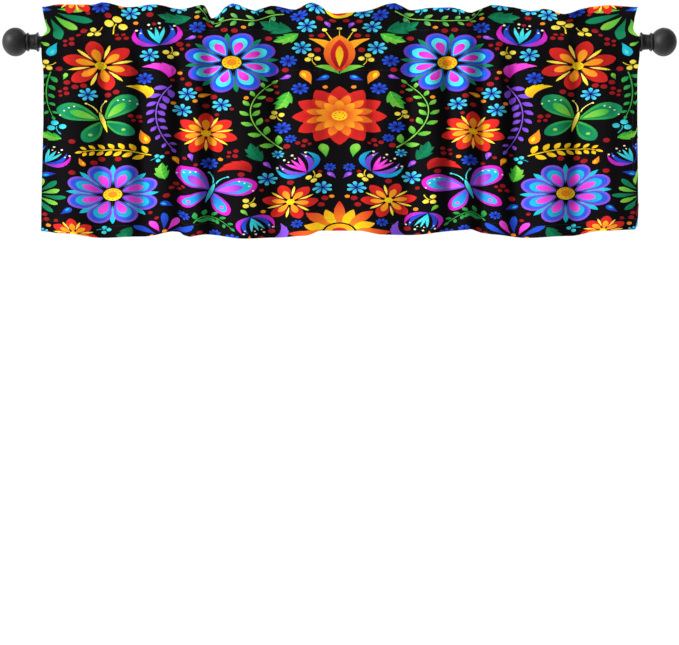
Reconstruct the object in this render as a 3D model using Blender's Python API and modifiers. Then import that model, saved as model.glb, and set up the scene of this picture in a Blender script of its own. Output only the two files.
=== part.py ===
"""A window valance hanging by its rod pocket from a curtain rod with ball finials.

The rod lies along X with its middle at the origin, the valance faces -Y and +Z is up. Sizes are in metres.
"""

import math
from collections import namedtuple

import bmesh
import bpy
from mathutils import Matrix, Vector

# The rod and the finials at its ends
ROD_RADIUS = 0.012
ROUND_SIDES = 24
ROD_END_BEVEL = 0.0006
FIT_GAP = 0.0003
FINIAL_MOUTH_X = 0.6074
SOCKET_DEPTH = 0.0196
ROD_HALF_LENGTH = FINIAL_MOUTH_X + SOCKET_DEPTH - FIT_GAP

# One finial along its own axis, from the mouth of its socket outwards
FLANGE_RADIUS = 0.0195
FLANGE_WIDTH = 0.0036
NECK_RADIUS = 0.0146
NECK_RIDGE = 0.0010
NECK_RIDGES = 5
RING_RADIUS = 0.0186
RING_WIDTH = 0.0043
DISC_CHAMFER = 0.0010
BALL_RADIUS = 0.0290
BALL_HALF_LENGTH = 0.0266
BALL_CENTRE = 0.0472
BALL_STEPS = 10

# The valance's cloth
CLOTH_THICKNESS = 0.0012
LAYER_OFFSET = 0.0011
HEADER_STITCH_Z = 0.024
POCKET_STITCH_Z = -0.057
TURNED_EDGE = 0.008
LEFT_END_X = -0.6010
RIGHT_END_X = 0.6052
POCKET_SLACK = 0.0003
POCKET_RADIUS = ROD_RADIUS + FIT_GAP + POCKET_SLACK + CLOTH_THICKNESS / 2
POCKET_ANGLES = (57, 75, 97)
POCKET_TAPER_Z = -0.030
BODY_STEPS = (0, 0.04, 0.32, 0.64, 0.9)
HEADER_STEPS = (0.3, 0.65)
FOLD_OVER_ANGLES = (0, 45, 90, 135, 180)
COLUMN_SPACING = 0.0150
COLUMN_RISE = 0.0090
LEAST_SPACING = 0.0060
STITCH_SHARE = 0.25
HEADER_BEND = 1.4
BODY_BEND = 0.8
SLOPE_STEP = 0.0005
END_SHARE_POWER = 3

# The header's top edge: its height over the rod's axis and how far it leans, forwards below zero.
# A row for each rise and dip of the ruffle.
HeaderRow = namedtuple("HeaderRow", "x height lean")
HEADER = (
    HeaderRow(-0.6010, 0.0687, -0.004),
    HeaderRow(-0.5710, 0.0747, -0.007),
    HeaderRow(-0.4960, 0.0747, -0.002),
    HeaderRow(-0.4810, 0.0804, 0.003),
    HeaderRow(-0.4270, 0.0707, 0.010),
    HeaderRow(-0.3730, 0.0747, -0.009),
    HeaderRow(-0.3220, 0.0667, 0.009),
    HeaderRow(-0.2740, 0.0741, -0.007),
    HeaderRow(-0.2600, 0.0465, 0.011),
    HeaderRow(-0.2170, 0.0778, 0.000),
    HeaderRow(-0.1710, 0.0606, -0.015),
    HeaderRow(-0.1380, 0.0731, 0.000),
    HeaderRow(-0.0880, 0.0661, 0.012),
    HeaderRow(-0.0560, 0.0802, 0.002),
    HeaderRow(-0.0110, 0.0547, -0.014),
    HeaderRow(0.0450, 0.0602, -0.006),
    HeaderRow(0.1120, 0.0788, 0.003),
    HeaderRow(0.1440, 0.0648, 0.012),
    HeaderRow(0.1830, 0.0687, 0.002),
    HeaderRow(0.2290, 0.0687, -0.006),
    HeaderRow(0.2660, 0.0566, -0.014),
    HeaderRow(0.3080, 0.0753, 0.004),
    HeaderRow(0.3540, 0.0710, 0.011),
    HeaderRow(0.3890, 0.0626, 0.009),
    HeaderRow(0.4150, 0.0667, -0.001),
    HeaderRow(0.4580, 0.0539, -0.014),
    HeaderRow(0.5060, 0.0707, 0.006),
    HeaderRow(0.5420, 0.0741, 0.002),
    HeaderRow(0.6052, 0.0691, -0.007),
)

# The folds below the pocket: the depth behind the rod's axis at the pocket's stitch and at the hem.
# Below zero is a crest that comes forwards.
FoldRow = namedtuple("FoldRow", "x top hem")
FOLDS = (
    FoldRow(-0.6010, 0.000, 0.004),
    FoldRow(-0.5340, -0.005, -0.010),
    FoldRow(-0.4680, 0.003, 0.006),
    FoldRow(-0.4290, -0.003, -0.007),
    FoldRow(-0.3930, 0.004, 0.008),
    FoldRow(-0.3540, -0.004, -0.008),
    FoldRow(-0.3160, 0.003, 0.005),
    FoldRow(-0.2860, -0.004, -0.006),
    FoldRow(-0.2550, 0.007, 0.011),
    FoldRow(-0.1910, -0.007, -0.014),
    FoldRow(-0.1260, 0.005, 0.010),
    FoldRow(-0.0660, -0.004, -0.009),
    FoldRow(0.0010, 0.001, 0.003),
    FoldRow(0.0660, -0.003, -0.007),
    FoldRow(0.1420, 0.003, 0.008),
    FoldRow(0.1910, -0.004, -0.009),
    FoldRow(0.2250, 0.004, 0.007),
    FoldRow(0.2560, -0.004, -0.008),
    FoldRow(0.2880, 0.006, 0.011),
    FoldRow(0.3220, -0.004, -0.006),
    FoldRow(0.3570, 0.005, 0.009),
    FoldRow(0.4190, -0.006, -0.012),
    FoldRow(0.4860, 0.004, 0.008),
    FoldRow(0.5500, -0.004, -0.009),
    FoldRow(0.6052, 0.000, 0.003),
)

# The hem's height below the rod's axis, a row for each rise and dip.
HemRow = namedtuple("HemRow", "x z")
HEM = (
    HemRow(-0.6010, -0.3818),
    HemRow(-0.5600, -0.3865),
    HemRow(-0.4800, -0.3956),
    HemRow(-0.3930, -0.3929),
    HemRow(-0.3260, -0.3818),
    HemRow(-0.3090, -0.3945),
    HemRow(-0.2680, -0.3885),
    HemRow(-0.1910, -0.3979),
    HemRow(-0.1300, -0.3949),
    HemRow(-0.0640, -0.3915),
    HemRow(-0.0430, -0.3812),
    HemRow(0.0400, -0.3812),
    HemRow(0.0850, -0.3893),
    HemRow(0.1480, -0.3899),
    HemRow(0.2430, -0.3808),
    HemRow(0.2740, -0.3777),
    HemRow(0.2960, -0.3883),
    HemRow(0.3850, -0.3959),
    HemRow(0.4660, -0.3919),
    HemRow(0.5260, -0.3818),
    HemRow(0.6052, -0.3787),
)

# How far each end of the cloth is drawn in at a height. The pocket's ends reach furthest out.
EndRow = namedtuple("EndRow", "z left right")
ENDS = (
    EndRow(-0.3850, -0.0020, 0.0016),
    EndRow(-0.0780, 0.0037, 0.0039),
    EndRow(-0.0570, 0.0025, 0.0030),
    EndRow(-0.0300, 0.0000, 0.0000),
    EndRow(0.0060, 0.0000, 0.0000),
    EndRow(0.0150, 0.0060, 0.0090),
    EndRow(0.0240, 0.0115, 0.0130),
    EndRow(0.0480, 0.0040, 0.0097),
    EndRow(0.0710, 0.0014, 0.0036),
)

BLACK_CLOTH = (0.012, 0.010, 0.013)
BLACK_METAL = (0.022, 0.022, 0.023)


def clear_scene():
    for obj in list(bpy.data.objects):
        bpy.data.objects.remove(obj, do_unlink=True)


def material(name, colour, roughness, metallic):
    made = bpy.data.materials.new(name)
    made.use_nodes = True
    shader = made.node_tree.nodes["Principled BSDF"]
    shader.inputs["Base Color"].default_value = (*colour, 1)
    shader.inputs["Roughness"].default_value = roughness
    shader.inputs["Metallic"].default_value = metallic
    return made


def add_object(name, mesh, finish, collection):
    obj = bpy.data.objects.new(name, mesh)
    obj.data.materials.append(finish)
    collection.objects.link(obj)
    return obj


def blend(first, last, share):
    return first + (last - first) * share


def eased(rows, key, column, at):
    """The table's value at a place, by half a cosine wave from each row to the next."""
    if at <= getattr(rows[0], key):
        return getattr(rows[0], column)
    for near, far in zip(rows, rows[1:]):
        if at <= getattr(far, key):
            share = (at - getattr(near, key)) / (getattr(far, key) - getattr(near, key))
            wave = (1 - math.cos(math.pi * share)) / 2
            return blend(getattr(near, column), getattr(far, column), wave)
    return getattr(rows[-1], column)


def header_top(x):
    return eased(HEADER, "x", "height", x)


def hem_height(x):
    return eased(HEM, "x", "z", x)


def fold_depth(x, z):
    """How far the middle of the cloth's layers lies behind the rod's axis."""
    lean = eased(HEADER, "x", "lean", x)
    top = eased(FOLDS, "x", "top", x)
    if z > HEADER_STITCH_Z:
        share = (z - HEADER_STITCH_Z) / (header_top(x) - HEADER_STITCH_Z)
        return blend(lean * STITCH_SHARE, lean, share**HEADER_BEND)
    if z > POCKET_STITCH_Z:
        share = (HEADER_STITCH_Z - z) / (HEADER_STITCH_Z - POCKET_STITCH_Z)
        return blend(lean * STITCH_SHARE, top, share)
    share = (POCKET_STITCH_Z - z) / (POCKET_STITCH_Z - hem_height(x))
    return blend(top, eased(FOLDS, "x", "hem", x), share**BODY_BEND)


def cloth_normal(x, z):
    """The direction across the layers, towards the back."""
    slope_x = (fold_depth(x + SLOPE_STEP, z) - fold_depth(x - SLOPE_STEP, z)) / (2 * SLOPE_STEP)
    slope_z = (fold_depth(x, z + SLOPE_STEP) - fold_depth(x, z - SLOPE_STEP)) / (2 * SLOPE_STEP)
    return Vector((-slope_x, 1, -slope_z)).normalized()


def layer_point(x, z, side):
    """A point of the front layer (side -1) or of the back layer (side 1), away from the rod."""
    return Vector((x, fold_depth(x, z), z)) + cloth_normal(x, z) * (side * LAYER_OFFSET)


def pocket_point(x, z, half_width, hold, side):
    """A point of a layer where the pocket opens round the rod. At a hold of 1 it stays outside the rod."""
    depth = fold_depth(x, z)
    outwards = max(0, side * depth) * side
    return Vector((x, blend(depth, outwards, hold) + side * half_width, z))


def pocket_points(x, side):
    """One layer's points round the rod, top to bottom, between the header's stitch and the pocket's."""
    points = []
    for angle in map(math.radians, POCKET_ANGLES):
        z = POCKET_RADIUS * math.cos(angle)
        half_width = POCKET_RADIUS * math.sin(angle)
        points.append(pocket_point(x, z, half_width, 1, side))
    share = (z - POCKET_TAPER_Z) / (z - POCKET_STITCH_Z)
    half_width = blend(half_width, LAYER_OFFSET, share)
    points.append(pocket_point(x, POCKET_TAPER_Z, half_width, 1 - share, side))
    return points


def edge_middle(x):
    """The line that the cloth turns over, just under the header's top edge."""
    z = header_top(x) - LAYER_OFFSET
    return Vector((x, fold_depth(x, z), z))


def header_fold(x):
    """The points where the cloth turns over at the header's top, front to back, with one at the very top."""
    middle = edge_middle(x)
    normal = cloth_normal(x, middle.z)
    along = edge_middle(x + SLOPE_STEP) - edge_middle(x - SLOPE_STEP)
    upwards = along.cross(normal).normalized()
    points = []
    for angle in map(math.radians, FOLD_OVER_ANGLES):
        points.append(middle + (upwards * math.sin(angle) - normal * math.cos(angle)) * LAYER_OFFSET)
    return points


def section(x):
    """The cloth's run at one place along the rod: up the front to the header's top, then down the back."""
    header = [blend(HEADER_STITCH_Z, header_top(x), share) for share in HEADER_STEPS]
    body = [blend(POCKET_STITCH_Z, hem_height(x), share) for share in (1, *reversed(BODY_STEPS))]
    fold = header_fold(x)
    top = len(fold) // 2
    front = [layer_point(x, z, -1) for z in body]
    front += reversed(pocket_points(x, -1))
    front += [layer_point(x, z, -1) for z in (HEADER_STITCH_Z, *header)]
    front += fold[: top + 1]
    back = fold[top + 1 :]
    back += [layer_point(x, z, 1) for z in (*reversed(header), HEADER_STITCH_Z)]
    back += pocket_points(x, 1)
    back += [layer_point(x, z, 1) for z in (POCKET_STITCH_Z, POCKET_STITCH_Z - TURNED_EDGE)]
    return [draw_in(point) for point in front], [draw_in(point) for point in back]


def draw_in(point):
    """Moves a point along the rod to where the cloth's ends are at its height."""
    if point.x < 0:
        shift = eased(ENDS, "z", "left", point.z) * (point.x / LEFT_END_X) ** END_SHARE_POWER
    else:
        shift = -eased(ENDS, "z", "right", point.z) * (point.x / RIGHT_END_X) ** END_SHARE_POWER
    return point + Vector((shift, 0, 0))


def column_places():
    """Where the cloth's sections lie: at every turn of the header and the folds, and evenly between them."""
    turns = [HEADER[0].x]
    for turn in sorted(row.x for row in (*HEADER, *FOLDS)):
        if turn - turns[-1] > LEAST_SPACING:
            turns.append(turn)
    places = turns[:1]
    for near, far in zip(turns, turns[1:]):
        rise = abs(header_top(far) - header_top(near))
        steps = max(1, round((far - near) / COLUMN_SPACING), round(rise / COLUMN_RISE))
        places += [blend(near, far, step / steps) for step in range(1, steps + 1)]
    return places


def build_valance(finish, collection):
    """A grid laid over the sections. Both layers are split along the same diagonals, so they lie parallel."""
    sections = [section(x) for x in column_places()]
    front_rows = len(sections[0][0])
    across = len(sections) - 1
    along = front_rows + len(sections[0][1]) - 1
    shape = bmesh.new()
    bmesh.ops.create_grid(shape, x_segments=across, y_segments=along, size=0.5)
    front_faces = []
    back_faces = []
    for face in shape.faces:
        row = (face.calc_center_median().y + 0.5) * along
        (front_faces if row < front_rows - 1 else back_faces).append(face)
    for vertex in shape.verts:
        column = round((vertex.co.x + 0.5) * across)
        row = round((vertex.co.y + 0.5) * along)
        front, back = sections[column]
        vertex.co = (front + back)[row]
    bmesh.ops.triangulate(shape, faces=front_faces, quad_method="FIXED")
    bmesh.ops.triangulate(shape, faces=back_faces, quad_method="ALTERNATE")
    mesh = bpy.data.meshes.new("valance")
    shape.to_mesh(mesh)
    shape.free()
    mesh.shade_smooth()
    valance = add_object("valance", mesh, finish, collection)
    thickness = valance.modifiers.new("Thickness", "SOLIDIFY")
    thickness.thickness = CLOTH_THICKNESS
    thickness.offset = 0
    thickness.use_even_offset = True
    return valance


def build_rod(finish, collection):
    shape = bmesh.new()
    bmesh.ops.create_cone(
        shape,
        cap_ends=True,
        segments=ROUND_SIDES,
        radius1=ROD_RADIUS,
        radius2=ROD_RADIUS,
        depth=2 * ROD_HALF_LENGTH,
        matrix=Matrix.Rotation(math.pi / 2, 4, "Y"),
    )
    mesh = bpy.data.meshes.new("rod")
    shape.to_mesh(mesh)
    shape.free()
    mesh.shade_smooth()
    mesh.set_sharp_from_angle(angle=math.radians(40))
    rod = add_object("rod", mesh, finish, collection)
    bevel = rod.modifiers.new("End edges", "BEVEL")
    bevel.width = ROD_END_BEVEL
    bevel.segments = 1
    bevel.limit_method = "ANGLE"
    bevel.angle_limit = math.radians(60)
    return rod


def disc_profile(near, far, root, radius):
    """A flat disc with chamfered edges, from its outer face down to its inner one."""
    return [
        (root, far),
        (radius - DISC_CHAMFER, far),
        (radius, far - DISC_CHAMFER),
        (radius, near + DISC_CHAMFER),
        (radius - DISC_CHAMFER, near),
    ]


def finial_profile():
    """Radius and height pairs from the ball's tip down the outside to the mouth, and up the socket."""
    ring_near = SOCKET_DEPTH
    ring_far = ring_near + RING_WIDTH
    ball_end = math.acos((ring_far + FIT_GAP - BALL_CENTRE) / BALL_HALF_LENGTH)
    points = []
    for step in range(BALL_STEPS + 1):
        angle = ball_end * step / BALL_STEPS
        points.append((BALL_RADIUS * math.sin(angle), BALL_CENTRE + BALL_HALF_LENGTH * math.cos(angle)))
    points += disc_profile(ring_near, ring_far, points[-1][0], RING_RADIUS)
    neck_length = ring_near - FLANGE_WIDTH
    for step in range(2 * NECK_RIDGES + 1):
        radius = NECK_RADIUS + NECK_RIDGE * (step % 2)
        points.append((radius, ring_near - neck_length * step / (2 * NECK_RIDGES)))
    points += disc_profile(0, FLANGE_WIDTH, NECK_RADIUS, FLANGE_RADIUS)[1:]
    bore = ROD_RADIUS + FIT_GAP
    return points + [(bore, 0), (bore, SOCKET_DEPTH), (0, SOCKET_DEPTH)]


def build_finials(finish, collection):
    """The two finials, each turned about its own Z axis and pushed over an end of the rod."""
    shape = bmesh.new()
    corners = [shape.verts.new((radius, 0, height)) for radius, height in finial_profile()]
    for near, far in zip(corners, corners[1:]):
        shape.edges.new((near, far))
    profile = bpy.data.meshes.new("finial")
    shape.to_mesh(profile)
    shape.free()
    for name, way in (("finial_left", -1), ("finial_right", 1)):
        finial = add_object(name, profile.copy(), finish, collection)
        finial.location.x = way * FINIAL_MOUTH_X
        finial.rotation_euler.y = way * math.pi / 2
        turning = finial.modifiers.new("Turning", "SCREW")
        turning.axis = "Z"
        turning.steps = ROUND_SIDES
        turning.render_steps = ROUND_SIDES
        turning.use_merge_vertices = True
        turning.merge_threshold = 0.00001
        turning.use_smooth_shade = True


def main():
    clear_scene()
    collection = bpy.data.collections.new("window_valance")
    bpy.context.scene.collection.children.link(collection)
    cloth = material("printed_cloth", BLACK_CLOTH, 0.85, 0)
    metal = material("black_metal", BLACK_METAL, 0.45, 0.6)
    build_valance(cloth, collection)
    build_rod(metal, collection)
    build_finials(metal, collection)


main()
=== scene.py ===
"""A window valance on its curtain rod: the looks of every piece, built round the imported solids.

The rod lies along X with its middle at the origin, the valance faces -Y and +Z is up. Sizes are in
metres. The print is drawn in the millimetres of a flat design, which is stretched sideways on the cloth.
"""

import math
import random
from collections import namedtuple

import bmesh
import bpy
import numpy as np
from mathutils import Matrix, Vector
from mathutils.bvhtree import BVHTree
from mathutils.geometry import delaunay_2d_cdt


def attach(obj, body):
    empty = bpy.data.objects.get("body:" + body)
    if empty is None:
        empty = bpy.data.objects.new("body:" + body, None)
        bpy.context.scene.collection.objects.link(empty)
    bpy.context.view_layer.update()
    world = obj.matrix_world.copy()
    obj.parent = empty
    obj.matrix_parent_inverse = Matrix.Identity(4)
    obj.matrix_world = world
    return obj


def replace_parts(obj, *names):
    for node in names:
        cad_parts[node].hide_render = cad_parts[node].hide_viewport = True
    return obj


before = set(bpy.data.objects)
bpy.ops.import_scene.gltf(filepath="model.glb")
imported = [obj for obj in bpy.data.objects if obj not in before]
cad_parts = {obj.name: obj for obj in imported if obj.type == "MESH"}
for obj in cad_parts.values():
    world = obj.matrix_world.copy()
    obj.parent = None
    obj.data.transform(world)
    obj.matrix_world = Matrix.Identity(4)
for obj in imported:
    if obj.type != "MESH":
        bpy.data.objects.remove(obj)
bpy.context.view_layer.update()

# The rod and its finials, as in the solids
ROD_RADIUS = 0.012
ROD_WALL = 0.0007
ROD_ROUNDING = 0.0005
ROD_MOUTH_DEPTH = 0.001
ROD_PARTS = 24
ROD_RIM_STEPS = 3
FIT_GAP = 0.0003
FINIAL_MOUTH_X = 0.6074
SOCKET_DEPTH = 0.0196

# The valance's cloth, by its height over the rod's axis
LEFT_END_X = -0.6010
RIGHT_END_X = 0.6052
HEADER_STITCH_Z = 0.024
POCKET_STITCH_Z = -0.057
TURNED_EDGE_Z = -0.065
FLAT_EDGE_Z = 0.073
FLAT_LAST_Z = 2 * FLAT_EDGE_Z - TURNED_EDGE_Z
FLAT_HEM_Z = -0.387
CLOTH = 0.0005
HEM_CLOTH = 0.0011
HEM_WIDTH = 0.025
SIDE_HEM_WIDTH = 0.012

# How the two layers of the header and the pocket lie: half the depth over both, at the seams and between them
SEAM_HALF = 0.0008
HEADER_HALF = 0.0014
HEADER_FULLNESS = 0.8
EDGE_RADIUS = 0.0010
ROD_CLEARANCE = 0.0009
PINCH_ABOVE = 0.014
PINCH_BELOW = 0.018

# The soft reading of the solid's folds, and of its edges on finer steps
GRID_STEP = 0.003
GRID_MARGIN = 0.009
SOFT_CELLS = 1.5
INSIDE = 0.001
END_SHARE_POWER = 3
LOOK_FROM = 1.0
LOWEST_END_Z = -0.374
HIGHEST_END_Z = 0.060
FLARE_FROM = 0.009
FLARE_REACH = 0.012
EDGE_STEP = 0.0005
EDGE_SOFT_STEPS = 4
CORNER_REACH = 0.006

# The mesh of the printed cloth
MESH_STEP = 0.0090
ROW_SHARE = 0.87
NEAR = 0.0028
LINE_STEP = 0.0075
FINE_PLACES = 2400
STEEP_GAIN = 2.5
OUTLINE_STEP = 0.0095
HEM_STEP = 0.0005
WELD = 0.000001
NO_LENGTH = 1e-12
ROD_GAP = 0.0080
SEAM_GAP = 0.0045
PRINT_COLOUR = "print"
FLAT_MAP = "Flat"
BAKE_MAP = "OFBake"
FRONT_SHARE = 0.68
BAKE_RIM = 0.004
BAKE_GAP = 0.01
CLOTH_SHARP = math.radians(50)

# Main creases of the hanging cloth. Each runs from one height to another, drifts sideways on its way
# down, and is a trough where its depth is above zero and a ridge where it is below. In millimetres.
CreaseRow = namedtuple("CreaseRow", "x top bottom drift width depth")
CREASES = [
    CreaseRow(*(value / 1000 for value in row))
    for row in (
        (-564, 50, -385, -8, 10, 4), (-538, 66, -40, 4, 8, -1.8), (-510, -30, -230, 10, 11, 2),
        (-470, 70, -330, -12, 9, 7.4), (-438, -20, -300, 10, 12, -2.6), (-408, 68, -385, 8, 8.5, 7),
        (-364, 66, -210, -6, 10, -3), (-328, 50, -390, 6, 9, 7.4), (-296, 64, -160, -4, 8, -2.6),
        (-268, 60, -395, 6, 9.5, 10.5), (-230, 66, -190, 4, 9, -3), (-196, -10, -250, -10, 11, 2.2),
        (-157, 60, -90, 6, 8.5, 2.4), (-126, 40, -380, 6, 10, 7.4), (-90, 64, -150, -6, 9, -2.4),
        (-52, 20, -200, 10, 10, 1.8), (-30, -60, -380, -8, 11, 3), (24, 58, -140, -6, 10, 2.2),
        (66, 50, -350, 6, 9.5, 6.6), (100, 66, -180, 8, 9, -2.2), (148, 60, -385, -8, 9, 7.4),
        (180, 64, -140, 6, 8.5, -2.6), (218, 56, -370, 4, 8.5, 7), (253, 50, -210, 6, 8.5, -2.8),
        (286, 60, -392, -6, 9.5, 10.8), (318, 66, -160, 6, 8, -2.6), (348, 64, -380, 4, 9, 7.8),
        (390, 60, -130, -4, 8.5, -2.2), (422, 40, -300, 8, 11, 4.2), (456, 56, -120, 4, 8, -2.2),
        (484, 30, -385, -6, 9.5, 6.6), (523, 64, -170, 6, 9, -2.2), (564, 60, -340, -6, 10, 3.6),
    )
]
CREASE_FULLNESS = 0.7

# The header is stiffer, with shallower creases
HEADER_CALM = 0.6
HEADER_CALM_RISE = 0.02

# Small puckers that the seams draw up
PUCKER_DEPTH = 0.0008
PUCKER_LENGTH = 0.0165
PUCKER_FADE = 0.014
PUCKER_WANDER = 0.047
PUCKER_SWING = 2.4
PUCKER_SHIFT = 40


def smooth_step(values):
    share = np.clip(values, 0, 1)
    return share * share * (3 - 2 * share)


def soften(grid, cells):
    """A grid of depths under a soft average."""
    reach = int(math.ceil(3 * cells))
    weights = np.exp(-(np.arange(-reach, reach + 1) ** 2) / (2 * cells**2))
    weights /= weights.sum()
    for axis in (0, 1):
        padded = np.pad(grid, [(reach, reach) if side == axis else (0, 0) for side in (0, 1)], "edge")
        grid = np.apply_along_axis(np.convolve, axis, padded, weights, "valid")
    return grid


def filled_in(grid):
    """A grid whose empty cells take the mean of their neighbours, from its rim inwards."""
    while np.isnan(grid).any():
        padded = np.pad(grid, 1, constant_values=np.nan)
        around = np.stack([padded[:-2, 1:-1], padded[2:, 1:-1], padded[1:-1, :-2], padded[1:-1, 2:]])
        known = ~np.isnan(around)
        count = known.sum(0)
        mean = np.where(known, around, 0).sum(0) / np.maximum(count, 1)
        grid = np.where(np.isnan(grid) & (count > 0), mean, grid)
    return grid


class Hanging:
    """The shape in which the solid of the cloth hangs, as smooth functions of the place on it."""

    def __init__(self, node):
        mesh = node.data
        points = np.array([vertex.co for vertex in mesh.vertices])
        edges = np.array([edge.vertices for edge in mesh.edges])
        self.x = np.arange(points[:, 0].min() - GRID_MARGIN, points[:, 0].max() + GRID_MARGIN, GRID_STEP)
        self.z = np.arange(points[:, 2].min() - GRID_MARGIN, points[:, 2].max() + GRID_MARGIN, GRID_STEP)
        tree = BVHTree.FromPolygons(points.tolist(), [face.vertices[:] for face in mesh.polygons])
        self.front, self.back = (soften(filled_in(self.depths(tree, way)), SOFT_CELLS) for way in (1, -1))
        self.middle = (self.front + self.back) / 2
        slope_z, slope_x = np.gradient(self.middle, GRID_STEP)
        self.slant = np.sqrt(1 + slope_x**2 + slope_z**2)
        self.edge_x = np.arange(self.x[0], self.x[-1], EDGE_STEP)
        furthest = (min, max)
        self.lefts, self.rights = (self.reach(points, edges, self.z, 2, 0, end) for end in furthest)
        along_rod = (points, edges, self.edge_x, 0, 2)
        self.hems, self.tops = (self.reach(*along_rod, end, EDGE_SOFT_STEPS) for end in furthest)

    def depths(self, tree, way):
        """How deep the cloth lies, seen from the front (way 1) or from the back (way -1)."""
        found = np.full((len(self.z), len(self.x)), np.nan)
        direction = Vector((0, way, 0))
        for row, z in enumerate(self.z):
            for column, x in enumerate(self.x):
                place = tree.ray_cast(Vector((x, -way * LOOK_FROM, z)), direction)[0]
                if place is not None:
                    found[row, column] = place.y
        return found

    @staticmethod
    def reach(points, edges, places, axis, other, furthest, soft_steps=1):
        """The furthest point of the mesh along one axis, at each place on another."""
        near, far = points[edges[:, 0]], points[edges[:, 1]]
        found = np.full(len(places), np.nan)
        for index, place in enumerate(places):
            crossing = (near[:, axis] - place) * (far[:, axis] - place) < 0
            if crossing.any():
                start, end = near[crossing], far[crossing]
                share = (place - start[:, axis]) / (end[:, axis] - start[:, axis])
                found[index] = furthest(start[:, other] + share * (end[:, other] - start[:, other]))
        known = np.flatnonzero(~np.isnan(found))
        found = np.interp(np.arange(len(places)), known, found[known])
        return soften(found[None, :].repeat(2, 0), soft_steps)[0]

    def sample(self, grid, x, z):
        """The grid's values between its cells."""
        column = np.clip((x - self.x[0]) / GRID_STEP, 0, len(self.x) - 1 - INSIDE)
        row = np.clip((z - self.z[0]) / GRID_STEP, 0, len(self.z) - 1 - INSIDE)
        left, below = column.astype(int), row.astype(int)
        across, up = column - left, row - below
        lower = grid[below, left] * (1 - across) + grid[below, left + 1] * across
        upper = grid[below + 1, left] * (1 - across) + grid[below + 1, left + 1] * across
        return lower * (1 - up) + upper * up

    def end(self, z, ends, flare):
        """Where the cloth ends at a height. The header's corners carry on as the cloth below them flares."""
        high = np.interp(HIGHEST_END_Z, self.z, ends)
        low = np.interp(HIGHEST_END_Z - FLARE_FROM, self.z, ends)
        return np.interp(z, self.z, ends) + flare * (high - low)

    def draw_in(self, u, z):
        """Where a place of the flat cloth lies along the rod, with the ends drawn in at each height."""
        flare = np.clip(z - HIGHEST_END_Z, 0, FLARE_REACH) / FLARE_FROM
        z = np.clip(z, LOWEST_END_Z, HIGHEST_END_Z)
        left, right = (self.end(z, ends, flare) for ends in (self.lefts, self.rights))
        left, right = left - LEFT_END_X, right - RIGHT_END_X
        share = np.where(u < 0, u / LEFT_END_X, u / RIGHT_END_X) ** END_SHARE_POWER
        return u + np.where(u < 0, left, right) * share

    def top(self, u):
        """The height of the header's edge."""
        u = np.asarray(u, float)
        place = self.draw_in(u, np.full_like(u, HIGHEST_END_Z + FLARE_FROM))
        left, right = (np.interp(HIGHEST_END_Z, self.z, ends) for ends in (self.lefts, self.rights))
        place = np.clip(place, left + CORNER_REACH, right - CORNER_REACH)
        return np.interp(place, self.edge_x, self.tops)

    def hem(self, u):
        """The height of the hem."""
        u = np.asarray(u, float)
        place = self.draw_in(u, np.full_like(u, FLAT_HEM_Z))
        return np.interp(place, self.edge_x, self.hems)

    def creases(self, x, z):
        """How far the creases and puckers push the cloth back."""
        depth = np.zeros_like(x)
        for row in CREASES:
            share = np.clip((row.top - z) / (row.top - row.bottom), 0, 1)
            across = (x - row.x - row.drift * share) / row.width
            depth += row.depth * np.exp(-(across**2) / 2) * np.sin(np.pi * share) ** CREASE_FULLNESS
        depth *= 1 - HEADER_CALM * smooth_step((z - HEADER_STITCH_Z) / HEADER_CALM_RISE + 0.5)
        wave = 2 * np.pi * x / PUCKER_LENGTH + PUCKER_SWING * np.sin(2 * np.pi * x / PUCKER_WANDER)
        for seam in (HEADER_STITCH_Z, POCKET_STITCH_Z):
            fade = np.exp(-np.abs(z - seam) / PUCKER_FADE)
            depth += PUCKER_DEPTH * np.sin(wave + PUCKER_SHIFT * seam) * fade
        return depth

    def place(self, u, w):
        """Where points of the flat cloth's printed face hang. The height w runs up the front, over the
        header's edge and on down the back. The header slumps where its edge is low."""
        top = self.top(u)
        from_edge = np.abs(w - FLAT_EDGE_Z)
        back = w > FLAT_EDGE_Z
        height = FLAT_EDGE_Z - from_edge
        turn = np.clip(from_edge / EDGE_RADIUS, 0, math.pi / 2)
        bent = EDGE_RADIUS * math.pi / 2
        header = np.clip((height - HEADER_STITCH_Z) / (FLAT_EDGE_Z - bent - HEADER_STITCH_Z), 0, 1)
        raised = HEADER_STITCH_Z + header * (top - EDGE_RADIUS - HEADER_STITCH_Z)
        z = np.where(height > HEADER_STITCH_Z, raised, height)
        z = np.where(turn < math.pi / 2, top - EDGE_RADIUS * (1 - np.cos(turn)), z)
        body = (POCKET_STITCH_Z - height) / (POCKET_STITCH_Z - FLAT_HEM_Z)
        hanging = POCKET_STITCH_Z + body * (self.hem(u) - POCKET_STITCH_Z)
        z = np.where(height < POCKET_STITCH_Z, hanging, z)
        x = self.draw_in(u, z)
        side = np.where(back, 1.0, -1.0)
        outer = np.where(back, self.sample(self.back, x, z), self.sample(self.front, x, z))
        crease = self.creases(x, z)
        outer += crease
        round_rod = np.sqrt(np.maximum(0, (ROD_RADIUS + CLOTH + ROD_CLEARANCE) ** 2 - z**2))
        outer = np.where(round_rod > 0, side * np.maximum(side * outer, round_rod), outer)
        loose = np.sin(np.pi * header) ** HEADER_FULLNESS
        half = SEAM_HALF + (HEADER_HALF - SEAM_HALF) * loose
        half = np.where(turn < math.pi / 2, EDGE_RADIUS * np.sin(turn), half)
        half = half * self.sample(self.slant, x, z)
        pinched = self.sample(self.middle, x, z) + crease + side * half
        hold = np.maximum(
            smooth_step((z - HEADER_STITCH_Z + PINCH_ABOVE) / PINCH_ABOVE),
            smooth_step(1 - np.abs(z - POCKET_STITCH_Z) / PINCH_BELOW),
        )
        hold = np.where(back & (z < POCKET_STITCH_Z), 1, hold)
        return np.stack([x, outer * (1 - hold) + pinched * hold, z], 1)


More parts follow.
